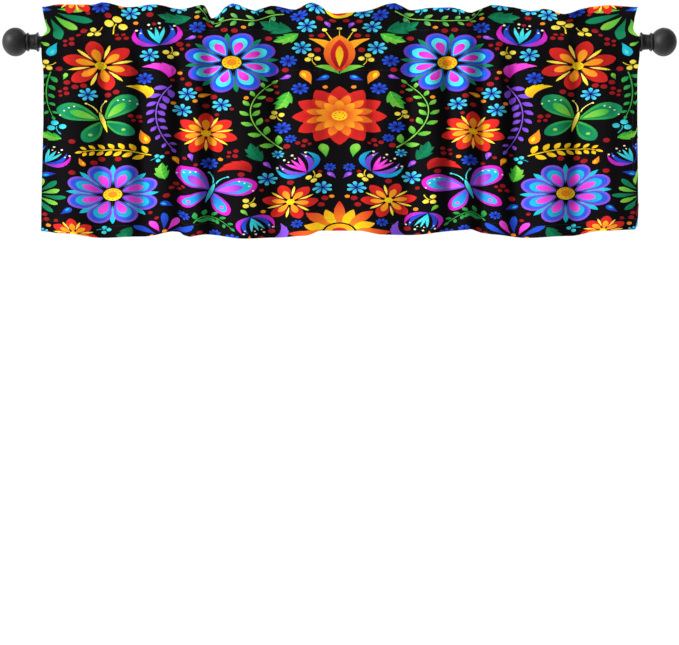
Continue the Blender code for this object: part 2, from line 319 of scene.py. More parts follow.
# Colours of the print. The cloth holds a little less light than their codes say.
INK_DEPTH = 0.80


def ink(code):
    """A colour by its usual hexadecimal code, as linear light."""
    values = [int(code[place : place + 2], 16) / 255 for place in (0, 2, 4)]
    linear = (value / 12.92 if value <= 0.04045 else ((value + 0.055) / 1.055) ** 2.4 for value in values)
    return tuple(INK_DEPTH * value for value in linear)


GROUND = ink("0d0b0d")
VIOLET = ink("7440c8")
LILAC = ink("8854d6")
BLUE = ink("2257d6")
DEEP_BLUE = ink("262fa8")
CYAN = ink("1fb9cf")
PALE_CYAN = ink("4fdbe0")
MAGENTA = ink("dd1fbe")
PINK = ink("f052d8")
YELLOW = ink("f4d51c")
PALE_YELLOW = ink("f5e66e")
ORANGE = ink("f28a22")
GOLD = ink("f0a81e")
RED = ink("d42823")
DARK_RED = ink("9a1b20")
PINE = ink("0f6a46")
EMERALD = ink("17875a")
GREEN = ink("3aa835")
LIME = ink("86cc46")
CREAM = ink("f6eec6")

# One filled outline of the print. Its colour runs from the first to the last, from one point to another.
Shape = namedtuple("Shape", "outline first last start end")

MILLIMETRE = 0.001
STRETCH = 1.6
DESIGN_HALF_WIDTH = 378
DESIGN_TOP = 76
DESIGN_BOTTOM = -392
REPEAT_HEIGHT = 470


def heading(degrees):
    """The direction that far clockwise from straight up."""
    return np.array((math.sin(math.radians(degrees)), math.cos(math.radians(degrees))))


def disc(centre, radius, colour, sides=12, last=None):
    turns = 2 * np.pi * np.arange(sides) / sides
    outline = np.array(centre) + radius * np.stack([np.cos(turns), np.sin(turns)], 1)
    up = np.array((0, radius))
    return Shape(outline, colour, last or colour, np.array(centre) - up, np.array(centre) + up)


def spine(base, tip, bend, steps):
    """Points along a bowed line, closer together at its ends, and the shares of its length."""
    base, tip = np.array(base, float), np.array(tip, float)
    along = tip - base
    across = np.array((-along[1], along[0]))
    share = (1 - np.cos(np.pi * np.arange(steps + 1) / steps)) / 2
    return base + np.outer(share, along) + np.outer(4 * bend * share * (1 - share), across), share


def blade(base, tip, width, first, last=None, belly=0.5, blunt=1.0, bend=0.0, steps=8):
    """A leaf or petal from its base to its tip: widest at the belly's share of its length, rounder with
    a smaller blunt, and bowed by a bend."""
    points, share = spine(base, tip, bend, steps)
    along = np.gradient(points, axis=0)
    across = np.stack([-along[:, 1], along[:, 0]], 1) / np.hypot(*along.T)[:, None]
    swell = np.sin(np.pi * share ** (math.log(0.5) / math.log(belly)))
    half = across * (width / 2 * np.maximum(swell, 0) ** blunt)[:, None]
    outline = np.vstack([points + half, (points - half)[-2:0:-1]])
    return Shape(outline, first, last or first, points[0], points[-1])


def stroke(points, width, colour, taper=0.2):
    """A drawn line that thins towards its end."""
    points = np.array(points, float)
    along = np.gradient(points, axis=0)
    across = np.stack([-along[:, 1], along[:, 0]], 1) / np.hypot(*along.T)[:, None]
    half = across * (width / 2 * np.linspace(1, taper, len(points)))[:, None]
    return Shape(np.vstack([points + half, (points - half)[::-1]]), colour, colour, points[0], points[-1])


def curve(start, through, end, steps=10):
    """Points of a smooth curve through three places."""
    start, through, end = (np.array(place, float) for place in (start, through, end))
    pull = 2 * through - (start + end) / 2
    share = np.linspace(0, 1, steps + 1)[:, None]
    return start * (1 - share) ** 2 + 2 * pull * share * (1 - share) + end * share**2


def ring(count, turn, *rows):
    """Petals round the middle. A row holds their base, tip, width, colours, belly, bluntness and steps."""
    shapes = []
    for step in range(count):
        way = heading(360 * step / count + turn)
        for base, tip, width, colours, belly, blunt, steps in rows:
            shapes.append(blade(way * base, way * tip, width, *colours, belly, blunt, 0, steps))
    return shapes


def beads(count, away, radius, colour, sides):
    """Dots in a circle round the middle."""
    return [disc(heading(360 * step / count) * away, radius, colour, sides) for step in range(count)]


def rosette(rim, band, glow, heart, between):
    """Eight round banded petals with slim ones between them, round a yellow eye."""
    shapes = ring(8, 0, (0.30, 0.97, 0.13, (between, between), 0.7, 1, 8))
    shapes += ring(
        8,
        22.5,
        (0.20, 1.00, 0.50, rim, 0.66, 0.50, 14),
        (0.22, 0.94, 0.42, band, 0.66, 0.52, 12),
        (0.24, 0.82, 0.32, glow, 0.66, 0.55, 10),
        (0.27, 0.68, 0.20, heart, 0.64, 0.60, 9),
    )
    shapes += [disc((0, 0), 0.235, GROUND, 20), disc((0, 0), 0.205, YELLOW, 20, GOLD)]
    shapes.append(disc((0, 0), 0.105, ORANGE, 14))
    return shapes + beads(10, 0.155, 0.014, DARK_RED, 6)


def star_flower(petals, outer, inner, eye):
    """Pointed petals with a second ring inside, and pale strokes between them."""
    shapes = ring(petals, 180 / petals, (0.28, 0.86, 0.10, (PALE_YELLOW, YELLOW), 0.6, 0.8, 6))
    shapes += ring(petals, 0, (0.10, 1, 0.46, outer, 0.62, 0.62, 11))
    shapes += ring(petals, 0, (0.08, 0.66, 0.24, inner, 0.66, 0.6, 8))
    return shapes + [disc((0, 0), 0.15, eye, 12)] + beads(6, 0.085, 0.022, ORANGE, 5)


def dahlia():
    """Rings of pointed petals, from deep red to orange."""
    deep = (DARK_RED, RED)
    shapes = ring(12, 0, (0.3, 1, 0.40, deep, 0.55, 0.8, 9))
    inner = (0.25, 0.72, 0.22, (RED, ORANGE), 0.55, 0.8, 7)
    shapes += ring(12, 15, (0.2, 0.80, 0.33, deep, 0.55, 0.8, 9), inner)
    shapes += ring(10, 0, (0.08, 0.52, 0.22, (RED, GOLD), 0.55, 0.7, 7))
    return shapes + [disc((0, 0), 0.17, YELLOW, 16, GOLD)] + beads(8, 0.11, 0.018, DARK_RED, 5)


def bud():
    """A round bud in its sepals, with three stamens over it."""
    shapes = []
    for side in (-1, 1):
        shapes.append(blade((0, -0.75), (side * 0.78, 0.55), 0.34, ORANGE, GOLD, 0.5, 0.9, side * 0.22, 10))
        shapes.append(blade((0, -0.85), (side * 0.62, -0.55), 0.20, GREEN, LIME, 0.5, 1, side * 0.15, 7))
    for lean in (-22, 0, 22):
        end = heading(lean)
        shapes.append(stroke([(0, 0.2), end * 0.6, end], 0.05, YELLOW))
        shapes.append(disc(end, 0.07, PALE_YELLOW, 8))
    shapes.append(blade((0, -0.75), (0, 0.68), 0.80, RED, ORANGE, 0.5, 0.7, steps=12))
    shapes.append(blade((0, -0.66), (0, 0.50), 0.46, DARK_RED, RED, 0.5, 0.75, steps=10))
    shapes.append(blade((0, -0.55), (0, 0.25), 0.20, YELLOW, GOLD, 0.6, 0.7, steps=8))
    return shapes


def sunrise():
    """Rays that stand up from a half disc."""
    shapes = []
    for step in range(9):
        way = heading(20 * (step - 4))
        long, *colours = (0.78, YELLOW, GOLD) if step % 2 else (1, ORANGE, RED)
        shapes.append(blade(way * 0.25, way * long, 0.22, *colours, 0.5, 0.8))
    shapes += [disc((0, 0), 0.34, GROUND, 20), disc((0, 0), 0.30, YELLOW, 18, GOLD)]
    return shapes + [disc((0, 0), 0.18, RED, 14)]


def bell(outer, inner, tip):
    """A fan-shaped blossom with dotted threads between its petals."""
    shapes = []
    for side in (-1, 1):
        shapes.append(blade((0, 0), (side * 0.62, 0.86), 0.20, *outer, 0.5, 0.9, side * -0.30, 10))
        shapes.append(blade((0, 0.02), (side * 0.42, 0.92), 0.18, *inner, 0.5, 0.9, side * -0.22, 9))
    for lean in (-17, 0, 17):
        shapes.append(blade((0, 0.06), heading(lean) * 0.86, 0.12, *tip, 0.55, 0.9, steps=7))
    for lean in (-34, -9, 9, 34):
        end = heading(lean) * 1.02
        shapes.append(disc(end, 0.045, CREAM, 7))
        shapes.append(disc(end * 0.82, 0.032, CREAM, 6))
    return shapes


# Half of a lobed leaf: the share of its length and the width there, from its stalk to its tip
LEAF_EDGE = (
    (0.00, 0.00), (0.08, 0.10), (0.20, 0.19), (0.34, 0.25), (0.49, 0.29), (0.45, 0.20), (0.55, 0.21),
    (0.66, 0.23), (0.78, 0.24), (0.73, 0.14), (0.82, 0.12), (0.92, 0.06), (1.00, 0.00),
)


def leaf(dark, light, bend=0.08):
    """A leaf with pointed lobes, dark on one half and light on the other, with pale veins."""
    shares, widths = np.array(LEAF_EDGE).T
    bow = 4 * bend * shares * (1 - shares)
    points = spine((0, 0), (0, 1), -bend, 8)[0]
    shapes = []
    for side, colour in ((-1, dark), (1, light)):
        edge = np.stack([side * widths + bow, shares], 1)
        shapes.append(Shape(np.vstack([edge, points[-2:0:-1]]), *colour, points[0], points[-1]))
    for share in (0.18, 0.42, 0.64):
        root = np.array((4 * bend * share * (1 - share), share))
        for side in (-1, 1):
            vein = [root, root + (side * 0.07, 0.045), root + (side * 0.15, 0.13)]
            shapes.append(stroke(vein, 0.022, light[1], 0.4))
    shapes.append(stroke(points[:-1], 0.03, light[1]))
    return shapes


def plume(first, last):
    """A tuft of curled feathers, each shorter than the one before."""
    feathers = (
        (0.16, 1.0, 0.24, 0.26, 12),
        (-0.16, 0.88, 0.20, 0.25, 10),
        (-0.40, 0.66, 0.17, 0.24, 9),
        (-0.52, 0.38, 0.14, 0.2, 8),
    )
    return [
        blade((0, 0), (x, y), width, first, last, 0.56, 0.95, bend, steps)
        for x, y, width, bend, steps in feathers
    ]


def drop(first, last, glint):
    shapes = [blade((0, -1), (0, 1), 0.95, first, last, 0.70, 0.62, 0.05, 9)]
    shapes.append(blade((0.05, 0.0), (0.05, 0.72), 0.34, glint, glint, 0.6, 0.6, 0.05, 6))
    return shapes


def fan(count, spread, dark, light):
    """Drops that spread from one point, by turns dark and light."""
    shapes = []
    for step in range(count):
        way = heading(spread * (step / (count - 1) - 0.5))
        long, colours = (0.84, light) if step % 2 else (1, dark)
        shapes.append(blade(way * 0.24, way * long, 0.21, *colours, 0.70, 0.62, 0.06, 9))
    return shapes


def butterfly(wing, band, spot, body):
    """Four banded wings, seen from above."""
    shapes = []
    for side in (-1, 1):
        shapes.append(blade((side * 0.04, -0.02), (side * 0.62, -0.72), 0.44, *wing, 0.62, 0.55, 0, 12))
        shapes.append(blade((side * 0.08, -0.10), (side * 0.54, -0.62), 0.28, *band, 0.62, 0.6, 0, 9))
        shapes.append(disc((side * 0.42, -0.48), 0.055, spot, 9))
        shapes.append(blade((side * 0.05, 0.05), (side * 0.98, 0.70), 0.66, *wing, 0.64, 0.55, 0, 14))
        shapes.append(blade((side * 0.10, 0.08), (side * 0.88, 0.62), 0.46, *band, 0.64, 0.6, 0, 12))
        shapes.append(blade((side * 0.14, 0.10), (side * 0.70, 0.49), 0.26, spot, wing[0], 0.62, 0.6, 0, 9))
        for step in range(4):
            place = np.array((side * (0.97 - 0.14 * step), 0.40 + 0.17 * step - 0.03 * step * step))
            shapes.append(disc(place, 0.026, CREAM, 6))
        feeler = curve((side * 0.03, 0.28), (side * 0.09, 0.52), (side * 0.24, 0.70), 5)
        shapes.append(stroke(feeler, 0.035, body[1], 0.6))
        shapes.append(disc(feeler[-1], 0.035, body[1], 6))
    shapes.append(blade((0, -0.52), (0, 0.40), 0.17, GROUND, GROUND, 0.6, 0.6, 0, 9))
    shapes.append(blade((0, -0.46), (0, 0.34), 0.11, *body, 0.6, 0.6, 0, 8))
    return shapes


def floret(first, last, petals=7):
    return ring(petals, 0, (0.10, 1, 0.48, (first, last), 0.70, 0.62, 4)) + [disc((0, 0), 0.13, GROUND, 6)]


def berries(first, last):
    shapes = [stroke(curve((0, -1.1), (0.16, -0.4), (0, 0.1), 3), 0.11, last, 0.8)]
    for place in ((-0.52, -0.12), (0.55, 0.02), (0.0, 0.62)):
        shapes.append(disc(place, 0.36, first, 10, last))
    return shapes


def dots(colour):
    return [disc((0, 0), 1.0, colour, 10)]


def cluster(colour):
    """Four dots close together."""
    places = ((-0.62, 0.10, 0.33), (0.05, 0.60, 0.27), (0.18, -0.30, 0.36), (0.74, 0.28, 0.24))
    return [disc((x, y), size, colour, 9) for x, y, size in places]


MOTIFS = {
    "rosette_violet": rosette((BLUE, VIOLET), (BLUE, BLUE), (CYAN, PALE_CYAN), (PINK, MAGENTA), EMERALD),
    "rosette_magenta": rosette((VIOLET, LILAC), (VIOLET, BLUE), (BLUE, CYAN), (MAGENTA, PINK), CYAN),
    "star_red": star_flower(6, (DARK_RED, RED), (GOLD, ORANGE), YELLOW),
    "star_orange": star_flower(7, (RED, RED), (ORANGE, GOLD), YELLOW),
    "dahlia": dahlia(),
    "bud": bud(),
    "sunrise": sunrise(),
    "bell_blue": bell((VIOLET, MAGENTA), (DEEP_BLUE, BLUE), (CYAN, PALE_CYAN)),
    "bell_violet": bell((BLUE, CYAN), (VIOLET, LILAC), (MAGENTA, PINK)),
    "butterfly_green": butterfly((GREEN, EMERALD), (PINE, EMERALD), LIME, (YELLOW, PALE_YELLOW)),
    "butterfly_violet": butterfly((VIOLET, MAGENTA), (BLUE, CYAN), PINK, (CYAN, PALE_CYAN)),
    "leaf_pine": leaf((PINE, PINE), (PINE, EMERALD)),
    "leaf_lime": leaf((GREEN, GREEN), (GREEN, LIME)),
    "plume_pink": plume(MAGENTA, PINK),
    "plume_yellow": plume(GOLD, YELLOW),
    "plume_violet": plume(VIOLET, LILAC),
    "plume_red": plume(DARK_RED, RED),
    "drop_orange": drop(ORANGE, ORANGE, YELLOW),
    "drop_cyan": drop(CYAN, CYAN, PALE_CYAN),
    "drop_blue": drop(DEEP_BLUE, BLUE, CYAN),
    "drop_lime": drop(GREEN, LIME, LIME),
    "drop_violet": drop(VIOLET, LILAC, PINK),
    "fan_green": fan(7, 150, (PINE, EMERALD), (GREEN, LIME)),
    "fan_blue": fan(5, 110, (DEEP_BLUE, BLUE), (MAGENTA, PINK)),
    "floret_cyan": floret(BLUE, PALE_CYAN),
    "floret_blue": floret(DEEP_BLUE, BLUE, 8),
    "berries_yellow": berries(PALE_YELLOW, YELLOW),
    "berries_cyan": berries(PALE_CYAN, CYAN),
    "dot_red": dots(DARK_RED),
    "cluster_red": cluster(DARK_RED),
    "dot_orange": dots(ORANGE),
}

# Where the motifs lie in the right half of the design. The left half mirrors it.
MotifRow = namedtuple("MotifRow", "motif x y size turn")
LAYOUT = [
    MotifRow(*row)
    for row in (
        ("dahlia", 0, -150, 60, 0), ("bud", 0, -22, 50, 0), ("sunrise", 0, -392, 66, 0),
        ("rosette_violet", 136, -42, 61, 6), ("rosette_magenta", 286, -302, 60, 0),
        ("star_red", 302, -48, 49, 12), ("star_orange", 169, -183, 41, 0), ("star_red", 62, -318, 36, 20),
        ("butterfly_green", 300, -156, 52, 14), ("butterfly_violet", 163, -300, 52, -16),
        ("bell_blue", 226, -8, 44, 12), ("bell_violet", 40, -262, 40, 38),
        ("bell_blue", 112, -345, 34, -160), ("bell_blue", 373, -248, 36, -28),
        ("fan_green", 372, 62, 62, -135), ("fan_green", 386, -312, 42, -68),
        ("star_orange", 334, -386, 30, 8), ("fan_blue", 222, -392, 46, 0), ("leaf_pine", 60, 22, 46, 62),
        ("leaf_lime", 52, 16, 36, 118), ("leaf_pine", 188, 50, 42, 86), ("leaf_lime", 64, -100, 38, 152),
        ("leaf_lime", 220, -278, 34, 6), ("leaf_pine", 98, -236, 38, 22),
        ("leaf_pine", 262, -368, 32, 140), ("leaf_lime", 352, -196, 30, 64),
        ("plume_pink", 216, -72, 40, 48), ("plume_yellow", 244, -112, 34, 40),
        ("plume_red", 112, -258, 42, 84), ("plume_violet", 82, -386, 28, -24),
        ("drop_orange", 42, -72, 15, 24), ("drop_orange", 247, -188, 15, 200),
        ("drop_cyan", 360, -16, 14, 160), ("drop_lime", 20, -222, 14, 12),
        ("berries_yellow", 284, 34, 17, -10), ("berries_yellow", 79, -146, 11, 30),
        ("berries_cyan", 358, -172, 14, 20),
    )
]

# Curved stems with leaves in pairs
SprayRow = namedtuple("SprayRow", "x1 y1 x2 y2 x3 y3 pairs leaf colour tip")
SPRAYS = [
    SprayRow(*row)
    for row in (
        (72, -212, 112, -146, 86, -84, 7, 21, GREEN, LIME),
        (238, -226, 286, -214, 324, -220, 7, 19, GOLD, YELLOW),
        (212, -88, 232, -146, 212, -216, 8, 20, VIOLET, LILAC),
        (184, -361, 164, -350, 138, -368, 5, 16, EMERALD, GREEN),
        (70, 58, 140, 44, 176, 66, 6, 17, EMERALD, LIME),
        (366, -60, 372, -105, 364, -150, 5, 17, EMERALD, GREEN),
    )
]

# How the leaves sit on a stem
STEM_WIDTH = 1.9
LEAF_TAPER = 0.45
LEAF_TURN = 48
LEAF_STALK = 2.4
PAIR_SHIFT = 2

# Small motifs that fill what is left bare, larger ones first: how often each is tried
FillerRow = namedtuple("FillerRow", "motif size tries")
FILLERS = [
    FillerRow(*row)
    for row in (
        ("floret_cyan", 13.0, 420), ("berries_yellow", 11.5, 300), ("floret_blue", 11.5, 700),
        ("cluster_red", 11.0, 420), ("drop_blue", 10.0, 260), ("berries_cyan", 9.0, 160),
        ("drop_orange", 8.5, 300), ("floret_blue", 8.0, 300), ("floret_cyan", 8.0, 260),
        ("drop_violet", 8.0, 400), ("drop_lime", 7.0, 300), ("dot_red", 4.6, 420),
        ("dot_orange", 3.4, 150), ("dot_red", 3.0, 260),
    )
]
FILLER_SEED = 11
FILLER_MARGIN = 2.2
COVER_CELL = 1.5
COVER_MARGIN = 12


def laid_motif(motif, x, y, size, turn):
    """The shapes of a motif turned clockwise, sized and set at its place."""
    cosine, sine = math.cos(math.radians(turn)), math.sin(math.radians(turn))
    rotation = size * np.array(((cosine, -sine), (sine, cosine)))
    shapes = []
    for shape in MOTIFS[motif]:
        points = (shape.outline, shape.start, shape.end)
        outline, start, end = (np.asarray(point, float) @ rotation + (x, y) for point in points)
        shapes.append(Shape(outline, shape.first, shape.last, start, end))
    return shapes


def spray(row):
    """A curved stem with pairs of leaves, smaller towards its end, and one at its tip."""
    stem = curve((row.x1, row.y1), (row.x2, row.y2), (row.x3, row.y3), 3 * row.pairs)
    shapes = [stroke(stem, STEM_WIDTH, row.tip, 0.5)]
    for pair in range(row.pairs):
        place = stem[3 * pair + 1]
        along = stem[3 * pair + 2] - stem[3 * pair]
        facing = math.degrees(math.atan2(along[0], along[1]))
        long = row.leaf * (1 - LEAF_TAPER * pair / row.pairs)
        for side in (-1, 1):
            start = place + heading(facing) * (PAIR_SHIFT if side > 0 else 0)
            way = heading(facing + side * LEAF_TURN)
            ends = (start + way * LEAF_STALK, start + way * long)
            shapes.append(blade(*ends, long * 0.46, row.colour, row.tip, 0.5, 0.8, side * -0.06, 6))
    facing = math.degrees(math.atan2(*(stem[-1] - stem[-2])))
    end = stem[-1] + heading(facing) * row.leaf * 0.55
    shapes.append(blade(stem[-1], end, row.leaf * 0.26, row.colour, row.tip, 0.5, 0.8, 0, 6))
    return shapes


class Cover:
    """Which cells of the half design are printed on already."""

    def __init__(self):
        self.x = np.arange(0, DESIGN_HALF_WIDTH + COVER_MARGIN, COVER_CELL)
        self.y = np.arange(DESIGN_BOTTOM - COVER_MARGIN, DESIGN_TOP + COVER_MARGIN, COVER_CELL)
        self.cells = np.zeros((len(self.y), len(self.x)), bool)

    def mark(self, outline):
        columns = np.flatnonzero((self.x >= outline[:, 0].min()) & (self.x <= outline[:, 0].max()))
        rows = np.flatnonzero((self.y >= outline[:, 1].min()) & (self.y <= outline[:, 1].max()))
        if not len(columns) or not len(rows):
            return
        x, y = np.meshgrid(self.x[columns], self.y[rows])
        inside = np.zeros(x.shape, bool)
        for near, far in zip(outline, np.roll(outline, -1, 0)):
            if near[1] != far[1]:
                crosses = (near[1] > y) != (far[1] > y)
                edge = near[0] + (y - near[1]) * (far[0] - near[0]) / (far[1] - near[1])
                inside ^= crosses & (x < edge)
        self.cells[np.ix_(rows, columns)] |= inside

    def is_free(self, x, y, radius):
        columns = np.flatnonzero(np.abs(self.x - x) < radius)
        rows = np.flatnonzero(np.abs(self.y - y) < radius)
        near = np.hypot(self.x[columns][None, :] - x, self.y[rows][:, None] - y) < radius
        return not (self.cells[np.ix_(rows, columns)] & near).any()


def half_design():
    """The shapes that stand on the design's middle, and those of its right half."""
    middle, shapes = [], []
    for row in SPRAYS:
        shapes += spray(row)
    for row in LAYOUT:
        added = laid_motif(*row)
        if row.x == 0:
            middle += added
        else:
            shapes += added
    cover = Cover()
    for shape in middle + shapes:
        cover.mark(shape.outline)
    chance = random.Random(FILLER_SEED)
    for row in FILLERS:
        for _ in range(row.tries):
            x = chance.uniform(row.size + 2, DESIGN_HALF_WIDTH - row.size / 2)
            y = chance.uniform(DESIGN_BOTTOM, DESIGN_TOP)
            turn = chance.uniform(0, 360)
            if cover.is_free(x, y, row.size + FILLER_MARGIN):
                added = laid_motif(row.motif, x, y, row.size, turn)
                shapes += added
                for shape in added:
                    cover.mark(shape.outline)
    return middle, shapes


def on_cloth(shape, mirror, lift):
    """A shape of the design in metres of the flat cloth."""
    scale = MILLIMETRE * np.array((mirror * STRETCH, 1))
    points = (shape.outline, shape.start, shape.end)
    outline, start, end = ((np.asarray(point) + (0, lift)) * scale for point in points)
    return Shape(outline, shape.first, shape.last, start, end)


def divided(outline, step, closed=True):
    """An outline with more points along its long edges, always anticlockwise if it is closed."""
    outline = np.asarray(outline, float)
    following = np.roll(outline, -1, 0)
    if closed:
        area = (outline[:, 0] * following[:, 1] - outline[:, 1] * following[:, 0]).sum()
        if area < 0:
            outline = outline[::-1]
            following = np.roll(outline, -1, 0)
    points = []
    for near, far in zip(outline, following) if closed else zip(outline, outline[1:]):
        count = max(1, math.ceil(np.hypot(*(far - near)) / step))
        points += [near + (far - near) * part / count for part in range(count)]
    return points if closed else points + [outline[-1]]


def print_shapes():
    """All shapes of the print on the flat cloth, in the order in which they are laid over each other."""
    middle, half = half_design()
    shapes = []
    for lift in (0, REPEAT_HEIGHT):
        for group, mirror in ((middle, 1), (half, 1), (half, -1)):
            for shape in group:
                laid = on_cloth(shape, mirror, lift)
                low, high = laid.outline.min(0), laid.outline.max(0)
                if (high > (LEFT_END_X, FLAT_HEM_Z)).all() and (low < (RIGHT_END_X, FLAT_LAST_Z)).all():
                    shapes.append(laid)
    return shapes


def behind(height):
    """The height on the flat cloth of what hangs at a height at the back."""
    return 2 * FLAT_EDGE_Z - height


def level(u, height):
    """A level line on the flat cloth."""
    return np.stack([u, np.full_like(u, height)], 1)


def line_places(hung):
    """Places along the cloth for its long lines, closer together where the header's edge or hem is steep."""
    fine = np.linspace(LEFT_END_X, RIGHT_END_X, FINE_PLACES)
    slope = np.maximum(*(np.abs(np.gradient(edge(fine), fine)) for edge in (hung.top, hung.hem)))
    count = np.cumsum((1 + STEEP_GAIN * slope) / LINE_STEP) * (fine[1] - fine[0])
    return np.interp(np.linspace(count[0], count[-1], int(count[-1])), count, fine)


def seam_lines(hung):
    """Lines that the mesh of the flat cloth keeps: the folded edge, the seams and the hems."""
    u = line_places(hung)
    hem = FLAT_HEM_Z + HEM_WIDTH
    heights = [hem, hem + HEM_STEP]
    heights += [FLAT_EDGE_Z + share * EDGE_RADIUS * math.pi / 2 for share in (-1, 0, 1)]
    for middle, gap in ((0, ROD_GAP), (HEADER_STITCH_Z, SEAM_GAP), (POCKET_STITCH_Z, SEAM_GAP)):
        for height in (middle - gap, middle, middle + gap):
            heights += [height, behind(height)]
    lines = [level(u, height) for height in heights]
    for end, way in ((LEFT_END_X, 1), (RIGHT_END_X, -1)):
        for place in (SIDE_HEM_WIDTH, SIDE_HEM_WIDTH + HEM_STEP):
            lines.append(np.array([(end + way * place, height) for height in (FLAT_HEM_Z, FLAT_LAST_Z)]))
    return lines


def bare_places(points):
    """Points of an even grid over the cloth, where no outline or line passes near."""
    corner = np.array((LEFT_END_X, FLAT_HEM_Z)) - MESH_STEP
    cells = np.array(points) - corner
    most = int(max(RIGHT_END_X - LEFT_END_X, FLAT_LAST_Z - FLAT_HEM_Z) / NEAR)
    busy = np.zeros((most, most), bool)
    for shift in ((0, 0), (0.5, 0), (0, 0.5), (0.5, 0.5)):
        column, row = ((cells + np.array(shift) * NEAR) / (2 * NEAR)).astype(int).clip(0, most - 1).T
        busy[row, column] = True
    found = []
    for index, w in enumerate(np.arange(FLAT_HEM_Z + MESH_STEP / 2, FLAT_LAST_Z, MESH_STEP * ROW_SHARE)):
        for u in np.arange(LEFT_END_X + MESH_STEP / 2 * (1 + index % 2), RIGHT_END_X - MILLIMETRE, MESH_STEP):
            column, row = ((np.array((u, w)) - corner) / (2 * NEAR)).astype(int)
            if not busy[row, column]:
                found.append((u, w))
    return found


def printed_mesh(hung):
    """The flat cloth split along the outlines of its print: points, triangles and a colour a corner."""
    u = line_places(hung)
    rim = np.vstack([level(u, FLAT_HEM_Z), level(u, FLAT_LAST_Z)[::-1]])
    whole = Shape(rim, GROUND, GROUND, rim[0], rim[-1])
    shapes = [whole] + print_shapes()
    points, faces, edges = [], [], []
    for shape in shapes:
        outline = divided(shape.outline, OUTLINE_STEP)
        faces.append(list(range(len(points), len(points) + len(outline))))
        points += outline
    for line in seam_lines(hung):
        run = divided(line, MESH_STEP, closed=False)
        edges += [(len(points) + step, len(points) + step + 1) for step in range(len(run) - 1)]
        points += run
    points += bare_places(points)
    vectors = [Vector(point) for point in points]
    places, _, split, _, _, owners = delaunay_2d_cdt(vectors, edges, faces, 0, WELD, True)
    flat = np.array([point[:] for point in places])
    triangles = np.array([corners for corners, outlines in zip(split, owners) if 0 in outlines])
    owner = np.array([max(outlines) for outlines in owners if 0 in outlines])
    parts = zip(*((shape.first, shape.last, shape.start, shape.end) for shape in shapes))
    first, last, start, end = (np.array(part)[owner] for part in parts)
    run = end - start
    corners = flat[triangles] - start[:, None, :]
    share = (corners * run[:, None, :]).sum(2) / np.maximum((run**2).sum(1), NO_LENGTH)[:, None]
    share = np.clip(share, 0, 1)[..., None]
    colours = first[:, None, :] * (1 - share) + last[:, None, :] * share
    return flat, triangles, colours


def link(obj):
    bpy.context.scene.collection.objects.link(obj)
    return obj


def select_only(obj):
    for other in bpy.context.selected_objects:
        other.select_set(False)
    bpy.context.view_layer.objects.active = obj
    obj.select_set(True)


def read(items, attribute, kind=np.int32, width=1):
    """One attribute of all items of a mesh."""
    values = np.zeros(len(items) * width, kind)
    items.foreach_get(attribute, values)
    return values


def flat_corners(mesh):
    """The place on the flat cloth of each face's corners."""
    return read(mesh.uv_layers[FLAT_MAP].data, "uv", np.float32, 2).reshape(-1, 2)


def build_cloth(hung, face_finish, reverse_finish):
    flat, triangles, colours = printed_mesh(hung)
    used, triangles = np.unique(triangles, return_inverse=True)
    triangles = triangles.reshape(-1, 3)
    flat = flat[used]
    points = hung.place(flat[:, 0], flat[:, 1])
    mesh = bpy.data.meshes.new("printed_cloth")
    mesh.from_pydata(points.tolist(), [], triangles.tolist())
    shown = mesh.color_attributes.new(PRINT_COLOUR, "FLOAT_COLOR", "CORNER")
    rgba = np.ones((len(triangles) * 3, 4), np.float32)
    rgba[:, :3] = colours.reshape(-1, 3)
    shown.data.foreach_set("color", rgba.ravel())
    layer = mesh.uv_layers.new(name=FLAT_MAP)
    layer.data.foreach_set("uv", flat[triangles.ravel()].astype(np.float32).ravel())
    mesh.materials.append(face_finish)
    mesh.materials.append(reverse_finish)
    mesh.shade_smooth()
    cloth = link(bpy.data.objects.new(mesh.name, mesh))
    group = cloth.vertex_groups.new(name="Thickness")
    at_hem = flat[:, 1] < FLAT_HEM_Z + HEM_WIDTH + HEM_STEP / 2
    from_end = np.minimum(flat[:, 0] - LEFT_END_X, RIGHT_END_X - flat[:, 0])
    at_hem |= from_end < SIDE_HEM_WIDTH + HEM_STEP / 2
    group.add(np.flatnonzero(at_hem).tolist(), 1.0, "REPLACE")
    group.add(np.flatnonzero(~at_hem).tolist(), CLOTH / HEM_CLOTH, "REPLACE")
    thickness = cloth.modifiers.new("Thickness", "SOLIDIFY")
    thickness.thickness = HEM_CLOTH
    thickness.offset = -1
    thickness.vertex_group = group.name
    thickness.material_offset = 1
    thickness.material_offset_rim = 0
    select_only(cloth)
    bpy.ops.object.modifier_apply(modifier=thickness.name)
    show_hem_backs(cloth)
    add_bake_map(cloth)
    cloth.data.set_sharp_from_angle(angle=CLOTH_SHARP)
    return cloth


def show_hem_backs(cloth):
    """The turned hems show the printed face at the back too."""
    mesh = cloth.data
    material = read(mesh.polygons, "material_index")
    flat = face_places(mesh)
    hem = flat[:, 1] < FLAT_HEM_Z + HEM_WIDTH
    front = flat[:, 1] < HEADER_STITCH_Z
    side = np.minimum(flat[:, 0] - LEFT_END_X, RIGHT_END_X - flat[:, 0]) < SIDE_HEM_WIDTH
    material[hem | (side & front)] = 0
    mesh.polygons.foreach_set("material_index", material)


def face_places(mesh):
    """The middle of each face on the flat cloth."""
    starts, totals = (read(mesh.polygons, attribute) for attribute in ("loop_start", "loop_total"))
    return np.add.reduceat(flat_corners(mesh), starts, axis=0) / totals[:, None]


